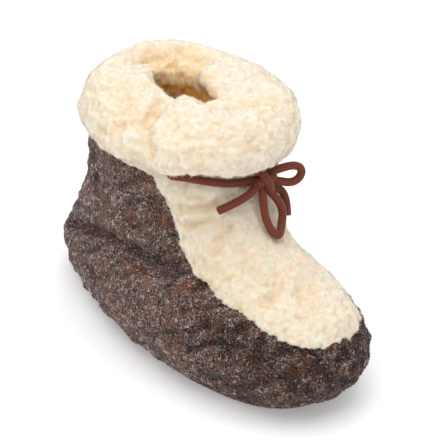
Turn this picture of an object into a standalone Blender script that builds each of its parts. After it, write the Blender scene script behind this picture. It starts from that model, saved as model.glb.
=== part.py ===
"""Slipper boot for the right foot: felt foot, shearling vamp and shaft, turned-down cuff and a tied cord.

Tables and sizes are in millimetres and the scene is in metres. +Y points to the toe, +X to the outer side
of the foot and +Z up. The heel's back end is at y = 0 until the root empty moves the boot over its origin,
the middle of its footprint on the floor.
"""

import math
from collections import namedtuple

import bmesh
import bpy
import numpy as np
from mathutils import Vector

# Driving sizes
MM = 0.001
LENGTH = 282.0
BALL_WIDTH = 132.0
HEEL_WIDTH = 118.0
SHAFT_HEIGHT = 158.0
FELT_WALL = 5.0
PILE = 6.5
PILE_ROUND = 14.0
LUMPS = 0.8
GAP = 0.3
COLUMNS = 72

# The last's own curve: the toe turns to the inner side, and the inner side is drawn in at the waist
TOE_TURN = 11.0
WAIST_PINCH = 16.0
BLUNTNESS = 0.80

# Fleece lining that thickens the shaft toward its rim, so that the inside narrows like a funnel
LINING = 19.0

# Sole and footbed
SOLE_THICK = 4.5
SOLE_LIP = -1.5
INSOLE_THICK = 6.0
INSOLE_INSET = 8.5
ARCH_RISE = 3.0
TOE_SPRING = 6.0
ARCH_SPAN = (0.33, 0.53)
TOE_SPRING_FROM = 0.80
SOLE_FRONT = 0.945

# Felt crease between the foot's roll and the heel quarter
CREASE_DEPTH = 4.0
CREASE_WIDTH = 8.0

# Cord, its height at the knot and the stretch of the front that it crosses
CORD = 5.6
CORD_LOW = 124.0
CORD_RISE = 9.0
KNOT_U = 0.525
CORD_EXITS = (0.405, 0.645)
CINCH_DEPTH = 4.0
CINCH_WIDTH = 8.0

# Cross rings of the upper, from the sole's edge to the rim. back and front are parts of LENGTH, the rises are
# parts of SHAFT_HEIGHT, heel and fore are parts of half the heel and ball widths, lean is millimetres inward.
Section = namedtuple("Section", "back back_rise front front_rise heel fore lean")
SECTIONS = {
    "sole_edge": Section(0.046, 0.040, 0.940, 0.080, 0.78, 0.80, 0.0),
    "roll": Section(0.012, 0.066, 0.980, 0.110, 0.94, 0.93, 0.0),
    "bulge": Section(0.000, 0.170, 1.000, 0.220, 1.00, 1.00, 0.0),
    "shoulder": Section(0.019, 0.270, 0.972, 0.330, 0.99, 0.93, 0.0),
    "toe_top": Section(0.064, 0.360, 0.888, 0.405, 0.93, 0.76, 1.0),
    "vamp": Section(0.096, 0.460, 0.765, 0.485, 0.90, 0.66, 2.0),
    "instep": Section(0.121, 0.570, 0.668, 0.570, 0.88, 0.67, 4.0),
    "throat": Section(0.135, 0.670, 0.623, 0.660, 0.88, 0.72, 6.0),
    "cord": Section(0.142, 0.790, 0.603, 0.790, 0.89, 0.78, 7.0),
    "shaft": Section(0.172, 0.890, 0.592, 0.890, 0.79, 0.71, 7.0),
    "rim": Section(0.180, 1.000, 0.588, 1.000, 0.77, 0.70, 7.0),
}

# Side view of the seam between felt and shearling, from behind the heel to past the toe. The seam lies lower
# on the inner side, by EDGE_TILT for each millimetre across.
EdgePoint = namedtuple("EdgePoint", "y z")
PANEL_EDGE = (
    EdgePoint(-20, 129),
    EdgePoint(70, 127),
    EdgePoint(105, 126.5),
    EdgePoint(128, 126),
    EdgePoint(141, 124.5),
    EdgePoint(147, 121),
    EdgePoint(150, 113),
    EdgePoint(154, 105),
    EdgePoint(160, 94),
    EdgePoint(169, 82),
    EdgePoint(182, 73),
    EdgePoint(198, 68),
    EdgePoint(227, 62.5),
    EdgePoint(244, 59.5),
    EdgePoint(262, 56),
    EdgePoint(272, 55),
    EdgePoint(300, 45),
)
EDGE_TILT = 0.06

# Side view of the crease
CREASE_LINE = (
    EdgePoint(0, 42),
    EdgePoint(46, 46),
    EdgePoint(102, 63),
    EdgePoint(149, 70),
    EdgePoint(180, 79),
)

# Cuff profile from the hem over the roll to the rim: height above the hem or below the top, how far it stands
# out from the shaft at the back and at the front, and the share of the plan's lift and sway that it takes
CUFF_TOP = 172.0
CUFF_CLEAR = 2.0
CUFF_PLAIN = 8.0
CuffRow = namedtuple("CuffRow", "rise back front share")
CUFF_OUTSIDE = (
    CuffRow(0.00, 9, 12, 0.0),
    CuffRow(0.12, 12, 23, 0.0),
    CuffRow(0.35, 13, 26, 0.0),
    CuffRow(0.60, 9, 24, 0.2),
    CuffRow(0.82, 3, 17, 0.6),
    CuffRow(0.95, -5, 8, 1.0),
    CuffRow(1.00, -12, -2, 1.0),
    CuffRow(0.97, -18, -13, 0.8),
    CuffRow(0.88, -24, -22, 0.4),
    CuffRow(0.74, -28, -28, 0.0),
)

# Round the cuff: how much the roll's crown rises and how far it moves outward. It stands highest over the
# hole at the outer front, lies low and wide at the inner front and dips in the fold between the two lobes.
CuffPlan = namedtuple("CuffPlan", "u lift sway")
CUFF_PLAN = (
    CuffPlan(0.00, 0, 0),
    CuffPlan(0.24, -1, -1),
    CuffPlan(0.31, -3, -4),
    CuffPlan(0.38, 3, -13),
    CuffPlan(0.43, 3, -10),
    CuffPlan(0.47, -1, -1),
    CuffPlan(0.52, -3, 4),
    CuffPlan(0.60, -3, 7),
    CuffPlan(0.68, -1, 3),
    CuffPlan(0.78, 0, 0),
    CuffPlan(1.00, 0, 0),
)
NOTCH_U = 0.340
NOTCH_WIDTH = 0.020
NOTCH_DEPTH = 0.45
NOTCH_DIP = 5.0

# Section rows of the shaft that the cuff covers outside and inside, and the thickness of its inner flap
SHAFT_ROWS = (8.9, 9.4, 10.0)
FLAP_ROWS = (9.2, 9.6, 10.0)
FLAP = 4.0

# Half sizes of the knot
KNOT_SIZE = (8.0, 6.5, 7.5)

# Bow round the knot's middle: across to the outer side, forward, up. An end at the knot is a direction.
Bow = namedtuple("Bow", "leaves route returns")
BOW = {
    "cord_loop_inner": Bow(
        (-0.72, 0.25, 0.65),
        ((-13.5, 5.5, 8), (-19, 8, 8.5), (-23.5, 9, 4.5), (-21.5, 9, -1), (-15.5, 8, -3)),
        (-0.85, 0.52, -0.10),
    ),
    "cord_loop_front": Bow(
        (-0.18, 0.62, -0.76),
        ((-5, 9.5, -12.5), (-7, 11.5, -20), (-3.5, 15.5, -27), (2.5, 21, -30.5), (6.5, 18, -26), (7, 12, -18)),
        (0.50, 0.55, -0.67),
    ),
    "cord_end_outer": Bow((0.92, 0.25, -0.28), ((14, 4, -4.5), (24, 3.5, -7.5), (36, 1.5, -10.5)), None),
    "cord_end_front": Bow((-0.70, 0.05, -0.71), ((-13, 2, -11), (-14.5, 5, -19), (-12.5, 9, -26)), None),
}

FELT_COLOUR = (0.150, 0.105, 0.092, 1.0)
SHEARLING_COLOUR = (0.810, 0.690, 0.520, 1.0)
CORD_COLOUR = (0.165, 0.062, 0.038, 1.0)


def smooth(t):
    t = np.clip(t, 0.0, 1.0)
    return t * t * (3.0 - 2.0 * t)


def bell(t):
    return np.exp(-np.square(t))


def spline(rows, v):
    """Catmull-Rom curve through the rows of a table, at row number v."""
    rows = np.asarray(rows, float)
    v = np.clip(np.asarray(v, float), 0.0, len(rows) - 1.0)
    low = np.clip(np.floor(v).astype(int), 0, len(rows) - 2)
    t = (v - low)[..., None]
    before = rows[np.clip(low - 1, 0, None)]
    here = rows[low]
    there = rows[low + 1]
    after = rows[np.clip(low + 2, None, len(rows) - 1)]
    cubic = 3.0 * here - before - 3.0 * there + after
    square = 2.0 * before - 5.0 * here + 4.0 * there - after
    return 0.5 * (2.0 * here + (there - before) * t + square * t**2 + cubic * t**3)


def sole_bottom(y):
    """Height of the sole's underside: flat at heel and forefoot, raised at the arch and toward the toe."""
    t = y / LENGTH
    low, high = ARCH_SPAN
    arch = ARCH_RISE * np.sin(math.pi * np.clip((t - low) / (high - low), 0.0, 1.0)) ** 2
    toe = np.clip((t - TOE_SPRING_FROM) / (SOLE_FRONT - TOE_SPRING_FROM), 0.0, None)
    return arch + TOE_SPRING * toe**2


def sole_top(y):
    return sole_bottom(y) + SOLE_THICK


def last(u, v):
    """Point on the felt's outside: u runs round from the heel by outer side and toe, v up the sections."""
    table = [tuple(section) for section in SECTIONS.values()]
    back, back_rise, front, front_rise, heel, fore, lean = np.moveaxis(spline(table, v), -1, 0)
    along = (1.0 - np.cos(2.0 * math.pi * u)) / 2.0
    side = np.sin(2.0 * math.pi * u)
    y = LENGTH * (back + (front - back) * along)
    z = SHAFT_HEIGHT * (back_rise + (front_rise - back_rise) * smooth(along))
    seat = sole_top(y) + GAP
    z = seat + (z - seat) * smooth(v)
    heel_half = HEEL_WIDTH / 2.0 * heel
    fore_half = BALL_WIDTH / 2.0 * fore
    half = heel_half + (fore_half - heel_half) * smooth((along - 0.15) / 0.7)
    pinch = WAIST_PINCH * bell((y / LENGTH - 0.55) / 0.19) * smooth((125.0 - z) / 70.0)
    half = np.where(side < 0.0, half - pinch, half)
    turn = TOE_TURN * smooth((y / LENGTH - 0.44) / 0.57)
    x = np.sign(side) * np.abs(side) ** BLUNTNESS * half - lean - turn
    return np.stack([x, y, z], -1)


def last_normal(u, v):
    """Outward direction of the felt's outside."""
    step_u, step_v = 0.004, 0.04
    round_it = last(u + step_u, v) - last(u - step_u, v)
    up_it = last(u, np.minimum(v + step_v, len(SECTIONS) - 1.0)) - last(u, np.maximum(v - step_v, 0.0))
    out = np.cross(round_it, up_it)
    return out / np.linalg.norm(out, axis=-1, keepdims=True)


def line_height(line, y):
    return np.interp(y, [point.y for point in line], [point.z for point in line])


def edge_distance(points):
    """Side-view distance from the panel edge, positive on the shearling's side."""
    place = np.stack([points[..., 1], points[..., 2] - EDGE_TILT * points[..., 0]], -1)
    nearest = np.full(points.shape[:-1], np.inf)
    for start, end in zip(PANEL_EDGE, PANEL_EDGE[1:]):
        start, run = np.array(start, float), np.array(end, float) - np.array(start, float)
        t = np.clip(((place - start) @ run) / (run @ run), 0.0, 1.0)
        nearest = np.minimum(nearest, np.linalg.norm(place - start - t[..., None] * run, axis=-1))
    above = place[..., 1] > line_height(PANEL_EDGE, place[..., 0])
    return np.where(above, nearest, -nearest)


def cord_height(u):
    return CORD_LOW + CORD_RISE * smooth(np.abs(u - KNOT_U) / 0.12)


def felt_relief(u, v):
    """Felt's outside moves in along the crease between foot and heel quarter."""
    points = last(u, v)
    depth = CREASE_DEPTH * bell((points[..., 2] - line_height(CREASE_LINE, points[..., 1])) / CREASE_WIDTH)
    return -depth * smooth((195.0 - points[..., 1]) / 40.0)


def shearling_relief(u, v):
    """Pile stands out from the skin with soft lumps, rounds down at the seam and is drawn in by the cord."""
    points = last(u, v)
    inward = 1.0 - np.clip(edge_distance(points) / PILE_ROUND, 0.0, 1.0)
    pile = 1.0 + (PILE - 1.0) * np.sqrt(np.clip(1.0 - inward**2, 0.0, 1.0))
    x, y, z = np.moveaxis(points, -1, 0)
    lumps = LUMPS * np.sin(x / 7.0 + 1.0) * np.sin(y / 8.0) * np.sin(z / 6.5)
    cinch = CINCH_DEPTH * bell((points[..., 2] - cord_height(u)) / CINCH_WIDTH)
    return pile + lumps * smooth(1.0 - inward) - cinch


def surface(u, v, relief):
    return last(u, v) + last_normal(u, v) * np.asarray(relief)[..., None]


def grid(rows):
    return np.meshgrid(np.arange(COLUMNS) / COLUMNS, np.asarray(rows, float))


def material(name, colour, roughness):
    made = bpy.data.materials.new(name)
    made.use_nodes = True
    made.diffuse_color = colour
    shader = made.node_tree.nodes["Principled BSDF"]
    shader.inputs["Base Color"].default_value = colour
    shader.inputs["Roughness"].default_value = roughness
    shader.inputs["Metallic"].default_value = 0.0
    return made


def add_object(name, data, skin, root):
    made = bpy.data.objects.new(name, data)
    bpy.context.scene.collection.objects.link(made)
    made.parent = root
    data.materials.append(skin)
    return made


def tube_mesh(name, rings):
    """Closed skin through rings of points that also closes from the last ring back to the first."""
    shape = bmesh.new()
    corners = [[shape.verts.new(Vector(point) * MM) for point in ring] for ring in rings]
    for ring, above in zip(corners, corners[1:] + corners[:1]):
        for i in range(len(ring)):
            j = (i + 1) % len(ring)
            shape.faces.new((ring[i], ring[j], above[j], above[i]))
    return finished(name, shape)


def capped_mesh(name, rings):
    """Closed skin through rings of points, with cross strips over the first and the last."""
    shape = bmesh.new()
    corners = [[shape.verts.new(Vector(point) * MM) for point in ring] for ring in rings]
    for ring, above in zip(corners, corners[1:]):
        for i in range(len(ring)):
            j = (i + 1) % len(ring)
            shape.faces.new((ring[i], ring[j], above[j], above[i]))
    for ring in (corners[0], corners[-1]):
        half = len(ring) // 2
        shape.faces.new((ring[0], ring[1], ring[-1]))
        for i in range(1, half - 1):
            shape.faces.new((ring[i], ring[i + 1], ring[-1 - i], ring[-i]))
        shape.faces.new((ring[half - 1], ring[half], ring[half + 1]))
    return finished(name, shape)


def finished(name, shape):
    """Turn the skin outward, shade it smooth over gentle angles and hand back its mesh."""
    bmesh.ops.recalc_face_normals(shape, faces=shape.faces)
    mesh = bpy.data.meshes.new(name)
    shape.to_mesh(mesh)
    shape.free()
    mesh.shade_smooth()
    mesh.set_sharp_from_angle(angle=math.radians(50.0))
    return mesh


def inside_depth(v):
    """How far the inside lies under the last: one felt thickness, and more where the shaft is lined."""
    return FELT_WALL + LINING * smooth((v - 7.2) / 1.6)


def wall_mesh(name, rows, relief, flange=()):
    """Hollow wall between the outside with its relief and the inside, closed below by any flange.

    Where the outside is drawn in, the inside moves with it, so the wall keeps its thickness.
    """
    u, v = grid(rows)
    depth = relief(u, v)
    outside = surface(u, v, depth)
    inside = surface(u, v, np.minimum(depth, 0.0) - inside_depth(v))
    return tube_mesh(name, list(outside) + list(inside[::-1]) + list(flange))


def panel_cutter(name, keep_above, root):
    """Prism across the boot that covers one side of the panel edge, half a gap over the line."""
    shift = GAP / 2.0 if keep_above else -GAP / 2.0
    line = [Vector((0.0, point.y, point.z)) for point in PANEL_EDGE]
    moved = []
    for i, point in enumerate(line):
        run = line[min(i + 1, len(line) - 1)] - line[max(i - 1, 0)]
        moved.append(point + Vector((0.0, -run.z, run.y)).normalized() * shift)
    far = -60.0 if keep_above else 260.0
    outline = moved + [Vector((0.0, moved[-1].y, far)), Vector((0.0, moved[0].y, far))]
    across = Vector((150.0, 0.0, 150.0 * EDGE_TILT))
    shape = bmesh.new()
    inner_end = shape.faces.new([shape.verts.new((point - across) * MM) for point in outline])
    pulled = bmesh.ops.extrude_face_region(shape, geom=[inner_end])["geom"]
    outer_end = [corner for corner in pulled if isinstance(corner, bmesh.types.BMVert)]
    bmesh.ops.translate(shape, verts=outer_end, vec=across * 2.0 * MM)
    cutter = add_object(name, finished(name, shape), bpy.data.materials.new(name), root)
    cutter.hide_render = True
    cutter.display_type = "WIRE"
    return cutter


def cut(target, cutter):
    boolean = target.modifiers.new("panel edge", "BOOLEAN")
    boolean.operation = "DIFFERENCE"
    boolean.solver = "EXACT"
    boolean.object = cutter


def plan_ring(grow, height):
    """Outline of the upper's lower edge in plan, grown sideways, at a height worked out from y."""
    u = np.arange(COLUMNS) / COLUMNS
    ring = last(u, np.zeros(COLUMNS))
    out = np.cross(np.roll(ring, -1, 0) - np.roll(ring, 1, 0), np.array([0.0, 0.0, 1.0]))
    ring = ring + out / np.linalg.norm(out, axis=-1, keepdims=True) * grow
    ring[:, 2] = height(ring[:, 1])
    return ring


def add_felt_upper(root, skin):
    rows = (0, 0.5, 1, 1.5, 2, 2.6, 3.1, 3.6, 4, 4.4, 4.8, 5.3, 6, 6.7, 7.4, 8.1, 8.7, 9.2)
    flange = plan_ring(-FELT_WALL, lambda y: sole_top(y) + GAP)
    upper = add_object("felt_upper", wall_mesh("felt_upper", rows, felt_relief, [flange]), skin, root)
    cut(upper, panel_cutter("felt_cutter", False, root))


def add_shearling_upper(root, skin):
    rows = (2.4, 3, 3.5, 4, 4.5, 5, 5.5, 6, 6.6, 7.2, 7.6, 8, 8.4) + SHAFT_ROWS
    upper = add_object("shearling_upper", wall_mesh("shearling_upper", rows, shearling_relief), skin, root)
    cut(upper, panel_cutter("shearling_cutter", True, root))


def on_shearling(u, z, stand):
    """Point at this height on the shearling's outside, and this far off it."""
    v = np.linspace(4.0, len(SECTIONS) - 1.0, 400)
    column = surface(np.full(v.shape, u), v, shearling_relief(np.full(v.shape, u), v) + stand)
    return column[np.abs(column[:, 2] - z).argmin()]


def hem_height(u):
    """Cuff's hem: lowest over the knot and lower at the back than at the sides."""
    return 140.0 - 8.0 * bell((u - KNOT_U) / 0.07) - 4.0 * np.cos(math.pi * u) ** 2


def add_cuff(root, skin):
    """Turned-down cuff: it hangs over the shaft outside, lies on the rim and lines the inside with a flap."""
    u = np.arange(COLUMNS) / COLUMNS
    rim_v = np.full(COLUMNS, len(SECTIONS) - 1.0)
    rim = last(u, rim_v)
    ahead, behind = np.roll(rim, -1, 0), np.roll(rim, 1, 0)
    out = np.cross(ahead - behind, np.array([0.0, 0.0, 1.0]))
    out /= np.linalg.norm(out, axis=-1, keepdims=True)
    front = (1.0 - np.cos(2.0 * math.pi * u)) / 2.0
    fold = bell((u - NOTCH_U) / NOTCH_WIDTH)
    notch = 1.0 - NOTCH_DEPTH * fold
    stations = [station.u for station in CUFF_PLAN]
    lift = np.interp(u, stations, [station.lift for station in CUFF_PLAN]) - NOTCH_DIP * fold
    sway = np.interp(u, stations, [station.sway for station in CUFF_PLAN])
    hem = hem_height(u)
    rings = []
    for row in CUFF_OUTSIDE:
        stand = row.back + (row.front - row.back) * front + row.share * sway
        stand = np.where(stand > CUFF_PLAIN, CUFF_PLAIN + (stand - CUFF_PLAIN) * notch, stand)
        height = hem + (CUFF_TOP - hem) * row.rise + row.share * lift
        if row.back > CUFF_PLAIN:
            under = np.minimum(height, SHAFT_HEIGHT)
            shaft = np.array([on_shearling(*place, CUFF_CLEAR) for place in zip(u, under)])
            stand = np.maximum(stand, ((shaft - rim) * out).sum(axis=-1))
        ring = rim + out * stand[:, None]
        ring[:, 2] = height
        rings.append(ring)
    flap_v = np.full(COLUMNS, FLAP_ROWS[0])
    rings.append(surface(u, flap_v, -inside_depth(flap_v) - 2.0 * GAP - FLAP))
    for v in FLAP_ROWS:
        row_v = np.full(COLUMNS, v)
        rings.append(surface(u, row_v, -inside_depth(row_v) - 2.0 * GAP))
    rings[-1][:, 2] = SHAFT_HEIGHT + CUFF_CLEAR
    for v in reversed(SHAFT_ROWS):
        row_v = np.full(COLUMNS, v)
        ring = surface(u, row_v, shearling_relief(u, row_v) + 2.0 * GAP)
        if v == rim_v[0]:
            ring[:, 2] = SHAFT_HEIGHT + CUFF_CLEAR
        rings.append(ring)
    return add_object("cuff", tube_mesh("cuff", rings), skin, root)


def add_sole(root, skin):
    rings = (
        plan_ring(SOLE_LIP - 1.5, sole_bottom),
        plan_ring(SOLE_LIP, lambda y: sole_bottom(y) + 1.5),
        plan_ring(SOLE_LIP, sole_top),
    )
    return add_object("sole", capped_mesh("sole", rings), skin, root)


def add_insole(root, skin):
    rings = (
        plan_ring(-INSOLE_INSET, lambda y: sole_top(y) + GAP),
        plan_ring(-INSOLE_INSET, lambda y: sole_top(y) + GAP + INSOLE_THICK - 2.0),
        plan_ring(-INSOLE_INSET - 2.0, lambda y: sole_top(y) + GAP + INSOLE_THICK),
    )
    return add_object("insole", capped_mesh("insole", rings), skin, root)


def add_cord(name, points, root, skin):
    """Round cord along a smooth curve through the points."""
    points = np.asarray(points, float)
    length = np.linalg.norm(np.diff(points, axis=0), axis=1).sum()
    count = max(5, round(length / (1.1 * CORD)))
    path = spline(points, np.linspace(0.0, len(points) - 1.0, count))
    curve = bpy.data.curves.new(name, "CURVE")
    curve.dimensions = "3D"
    curve.bevel_depth = CORD / 2.0 * MM
    curve.bevel_resolution = 2
    curve.use_fill_caps = True
    line = curve.splines.new("POLY")
    line.points.add(count - 1)
    for target, point in zip(line.points, path):
        target.co = (*(point * MM), 1.0)
    line.use_smooth = True
    return add_object(name, curve, skin, root)


def on_knot(direction):
    """Point just off the knot's skin in this direction from its middle."""
    direction = np.array(direction, float)
    reach = 1.0 / np.linalg.norm(direction / np.array(KNOT_SIZE))
    return direction * (reach + 1.5 * GAP / np.linalg.norm(direction))


def add_knot(middle, root, skin):
    shape = bmesh.new()
    bmesh.ops.create_icosphere(shape, subdivisions=2, radius=1.0)
    bmesh.ops.scale(shape, vec=Vector(KNOT_SIZE) * MM, verts=shape.verts)
    bmesh.ops.translate(shape, vec=Vector(middle) * MM, verts=shape.verts)
    return add_object("cord_knot", finished("cord_knot", shape), skin, root)


def add_tie(root, skin):
    """Cord across the front of the ankle, drawn through the shearling at both exits and tied in a bow."""
    middle = on_shearling(KNOT_U, CORD_LOW, KNOT_SIZE[1] + 1.5)
    stand = CORD / 2.0 + 1.0
    beside = 0.031
    for name, start, end in (
        ("cord_bar_outer", CORD_EXITS[0], KNOT_U - beside),
        ("cord_bar_inner", KNOT_U + beside, CORD_EXITS[1]),
    ):
        across = np.linspace(start, end, 7)
        add_cord(name, [on_shearling(u, cord_height(u), stand) for u in across], root, skin)
    add_knot(middle, root, skin)
    for name, bow in BOW.items():
        route = [on_knot(bow.leaves)] + [np.array(point, float) for point in bow.route]
        if bow.returns:
            route.append(on_knot(bow.returns))
        add_cord(name, middle + np.array(route), root, skin)


def stand_on_origin(root):
    """Move the root so that the footprint's middle, without the cord, is over the origin."""
    bpy.context.view_layer.update()
    graph = bpy.context.evaluated_depsgraph_get()
    corners = []
    for made in root.children:
        if made.hide_render or made.name.startswith("cord_"):
            continue
        mesh = made.evaluated_get(graph).to_mesh()
        corners += [made.matrix_world @ corner.co for corner in mesh.vertices]
    corners = np.array(corners)
    low, high = corners.min(axis=0), corners.max(axis=0)
    root.location = (-(low[0] + high[0]) / 2.0, -(low[1] + high[1]) / 2.0, -low[2])


def main():
    for old in list(bpy.data.objects):
        bpy.data.objects.remove(old, do_unlink=True)
    root = bpy.data.objects.new("slipper_boot", None)
    bpy.context.scene.collection.objects.link(root)
    felt = material("felt", FELT_COLOUR, 0.95)
    sole_felt = material("sole_felt", tuple(0.8 * part for part in FELT_COLOUR[:3]) + (1.0,), 0.95)
    shearling = material("shearling", SHEARLING_COLOUR, 0.95)
    cuff_fleece = material("cuff_fleece", SHEARLING_COLOUR, 0.95)
    footbed = material("footbed", SHEARLING_COLOUR, 0.95)
    braid = material("braid", CORD_COLOUR, 0.75)
    add_sole(root, sole_felt)
    add_insole(root, footbed)
    add_felt_upper(root, felt)
    add_shearling_upper(root, shearling)
    add_cuff(root, cuff_fleece)
    add_tie(root, braid)
    stand_on_origin(root)


main()
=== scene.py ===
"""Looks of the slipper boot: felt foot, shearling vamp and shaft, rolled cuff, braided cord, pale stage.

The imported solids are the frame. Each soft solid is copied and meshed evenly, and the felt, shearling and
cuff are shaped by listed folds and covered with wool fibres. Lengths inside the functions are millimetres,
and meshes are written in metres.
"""

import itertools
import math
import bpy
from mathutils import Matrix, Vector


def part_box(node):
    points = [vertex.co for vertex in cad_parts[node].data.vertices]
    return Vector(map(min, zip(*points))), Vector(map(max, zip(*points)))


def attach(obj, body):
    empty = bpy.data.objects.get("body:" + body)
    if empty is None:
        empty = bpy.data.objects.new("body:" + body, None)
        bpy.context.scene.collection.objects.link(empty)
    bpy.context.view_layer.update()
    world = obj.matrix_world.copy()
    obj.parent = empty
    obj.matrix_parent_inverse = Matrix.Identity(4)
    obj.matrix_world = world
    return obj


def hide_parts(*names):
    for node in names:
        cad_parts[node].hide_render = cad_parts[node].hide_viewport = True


bl_info = {
    "name": "Slipper boot looks",
    "version": (1, 0, 0),
    "blender": (4, 5, 0),
    "location": "View3D > Sidebar > Slipper boot",
    "description": "Dresses the solids of a slipper boot in felt, shearling and braided cord",
    "category": "Object",
}

from collections import namedtuple

import bpy
import numpy as np
from bpy.props import FloatProperty, FloatVectorProperty, IntProperty, PointerProperty
from mathutils import Vector
from mathutils.bvhtree import BVHTree

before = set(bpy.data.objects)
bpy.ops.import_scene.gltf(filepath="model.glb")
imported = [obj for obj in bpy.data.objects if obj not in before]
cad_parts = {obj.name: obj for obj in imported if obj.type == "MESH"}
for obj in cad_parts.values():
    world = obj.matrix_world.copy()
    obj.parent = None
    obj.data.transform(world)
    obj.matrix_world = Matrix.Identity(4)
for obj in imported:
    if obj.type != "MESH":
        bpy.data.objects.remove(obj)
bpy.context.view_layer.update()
MM = 0.001


def linear(code):
    """Linear colour of an sRGB hex value."""
    parts = [int(code[i : i + 2], 16) / 255.0 for i in (1, 3, 5)]
    return tuple(part / 12.92 if part <= 0.04045 else ((part + 0.055) / 1.055) ** 2.4 for part in parts)


def colour(name, description, code):
    """Colour property with an sRGB hex default."""
    return FloatVectorProperty(
        name=name, description=description, default=linear(code), size=3, min=0.0, max=1.0, subtype="COLOR"
    )


def length(name, description, millimetres):
    """Length property in metres with a default in millimetres."""
    return FloatProperty(
        name=name, description=description, default=millimetres * MM, min=0.0, unit="LENGTH", precision=4
    )


class SlipperWool(bpy.types.PropertyGroup):
    """Cream shearling of vamp, shaft and cuff."""

    tip: colour("Tip", "Cream at the tips of the pile", "#faf0e0")
    curl: colour("Curl", "Cream of the curls' sides", "#f7e3c7")
    # Root and deep stand for warm painted shade: in gaps between tufts, in folds and down the collar's hole
    root: colour("Root", "Warmer wool deep in the pile", "#f2d2a3")
    deep: colour("Deep", "Warm lining down in the shaft", "#fab24e")
    tuft: length("Tuft", "Width of one tuft of curls", 4.8)
    tuft_height: length("Tuft height", "How far a tuft stands up", 1.0)
    fibre: length("Fibre", "Length of one fibre of the pile that shows", 1.6)
    fibre_width: length("Fibre width", "Thickness of one fibre, drawn thick enough to show", 0.32)


class SlipperFelt(bpy.types.PropertyGroup):
    """Brown melange felt of foot and heel."""

    dark: colour("Dark", "Darkest fibres of the felt", "#150d0b")
    brown: colour("Brown", "Most of the felt's fibres", "#4f382d")
    rust: colour("Rust", "Red-brown fibres", "#8a5234")
    grey: colour("Grey", "Mauve-grey fibres", "#877571")
    pale: colour("Pale", "Pale fibres that glint in the felt", "#e6dbd9")
    fleck: length("Fleck", "Width of one fleck of colour", 1.2)
    patch: length("Patch", "Width of the red-brown patches", 10.0)
    fibre: length("Fibre", "Length of one felt fibre that shows", 2.4)
    fibre_width: length("Fibre width", "Thickness of one fibre, drawn thick enough to show", 0.32)


class SlipperCord(bpy.types.PropertyGroup):
    """Red-brown braided cord."""

    # Dark is painted shade between the strands; the braid's relief picks between light and dark
    light: colour("Light", "Crowns of the braid", "#88432d")
    dark: colour("Dark", "Between the strands", "#3f190f")
    diameter: length("Diameter", "Thickness of the cord", 5.6)
    strand: length("Strand", "Spacing of the strands of the braid", 1.5)
    strand_height: length("Strand height", "Relief of the braid", 0.32)


class SlipperStage(bpy.types.PropertyGroup):
    """Pale floor, soft light and the camera."""

    floor: colour("Floor", "Plain pale floor", "#f6f6f6")
    azimuth: FloatProperty(
        name="Azimuth",
        description="Camera's turn round the boot",
        default=math.radians(146.17),
        subtype="ANGLE",
    )
    elevation: FloatProperty(
        name="Elevation",
        description="Camera's height as an angle",
        default=math.radians(30.89),
        subtype="ANGLE",
    )
    distance: FloatProperty(
        name="Distance", description="From the camera to its target", default=1.3, min=0.1, unit="LENGTH"
    )
    target: FloatVectorProperty(
        name="Target",
        description="Point that the camera looks at",
        default=(-0.0271, -0.0253, 0.0589),
        size=3,
        subtype="TRANSLATION",
    )
    lens: FloatProperty(
        name="Lens", description="Focal length on a 36 mm sensor", default=156.6, min=10.0, unit="CAMERA"
    )
    glow: FloatProperty(
        name="Glow", description="Light that the floor itself gives off", default=0.2, min=0.0
    )
    sky: FloatProperty(
        name="Sky", description="Strength of the even white light", default=0.62, min=0.0
    )
    key: FloatProperty(
        name="Key", description="Power of the large soft light", default=27.0, min=0.0, unit="POWER"
    )


class SlipperBoot(bpy.types.PropertyGroup):
    """What a user would change."""

    wool: PointerProperty(type=SlipperWool)
    felt: PointerProperty(type=SlipperFelt)
    cord: PointerProperty(type=SlipperCord)
    stage: PointerProperty(type=SlipperStage)
    seed: IntProperty(name="Seed", description="Start of the random draws", default=7, min=0)


# Folds given in the boot's own frame, in millimetres: a curve through three points, how wide the trough is
# and how deep. A negative depth is a ridge.
Fold = namedtuple("Fold", "start middle end width depth")

# Felt: the crease above the rolled foot in two runs, a dip beside the vamp, the roll's swelling under the
# crease in two runs, four wrinkles towards the toe and three soft folds up the heel quarter
FELT_FOLDS = (
    Fold((40, -117, 33), (48, -80, 51), (51, -37, 65), 3.4, 6.0),
    Fold((51, -37, 65), (48, 0, 68.5), (42, 30, 70), 3.4, 6.0),
    Fold((37, 14, 97), (38, 18, 86), (40, 25, 74), 6.0, 2.5),
    Fold((48, -104, 30), (55, -60, 48), (55, -32, 57), 7.0, -2.0),
    Fold((55, -32, 57), (54, 4, 60), (48, 38, 63), 7.0, -2.4),
    Fold((60, 15, 36), (56, 38, 46), (44, 62, 56), 4.0, 2.0),
    Fold((58, 30, 30), (53, 52, 42), (40, 76, 54), 4.0, -1.5),
    Fold((55, 46, 26), (49, 68, 38), (35, 92, 52), 4.0, 2.0),
    Fold((50, 62, 24), (42, 86, 36), (26, 106, 50), 4.5, -1.5),
    Fold((44, -70, 118), (47, -62, 96), (50, -55, 74), 6.0, 2.4),
    Fold((45, -35, 116), (48, -28, 96), (50, -22, 76), 6.0, -2.0),
    Fold((42, 0, 112), (44, 6, 94), (46, 12, 78), 6.0, 2.4),
)

# Shearling: three wrinkles under the cord and four shallow dents down the vamp
VAMP_FOLDS = (
    Fold((35, 23, 112), (27, 30, 113), (15, 35, 114), 3.6, 3.4),
    Fold((33, 26, 107), (25, 33, 108), (14, 38, 109), 4.0, -1.8),
    Fold((33, 26, 101), (27, 33, 104), (20, 36, 107), 3.6, 3.2),
    Fold((25, 50, 90), (20, 45, 95), (12, 44, 99), 4.5, 2.4),
    Fold((15, 68, 84), (13, 74, 82), (10, 82, 79), 5.0, 2.0),
    Fold((18, 92, 73), (9, 91, 76), (2, 82, 80), 4.5, 2.2),
    Fold((-1, 104, 72), (-6, 99, 75), (-12, 91, 78), 4.0, 1.8),
)

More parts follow.
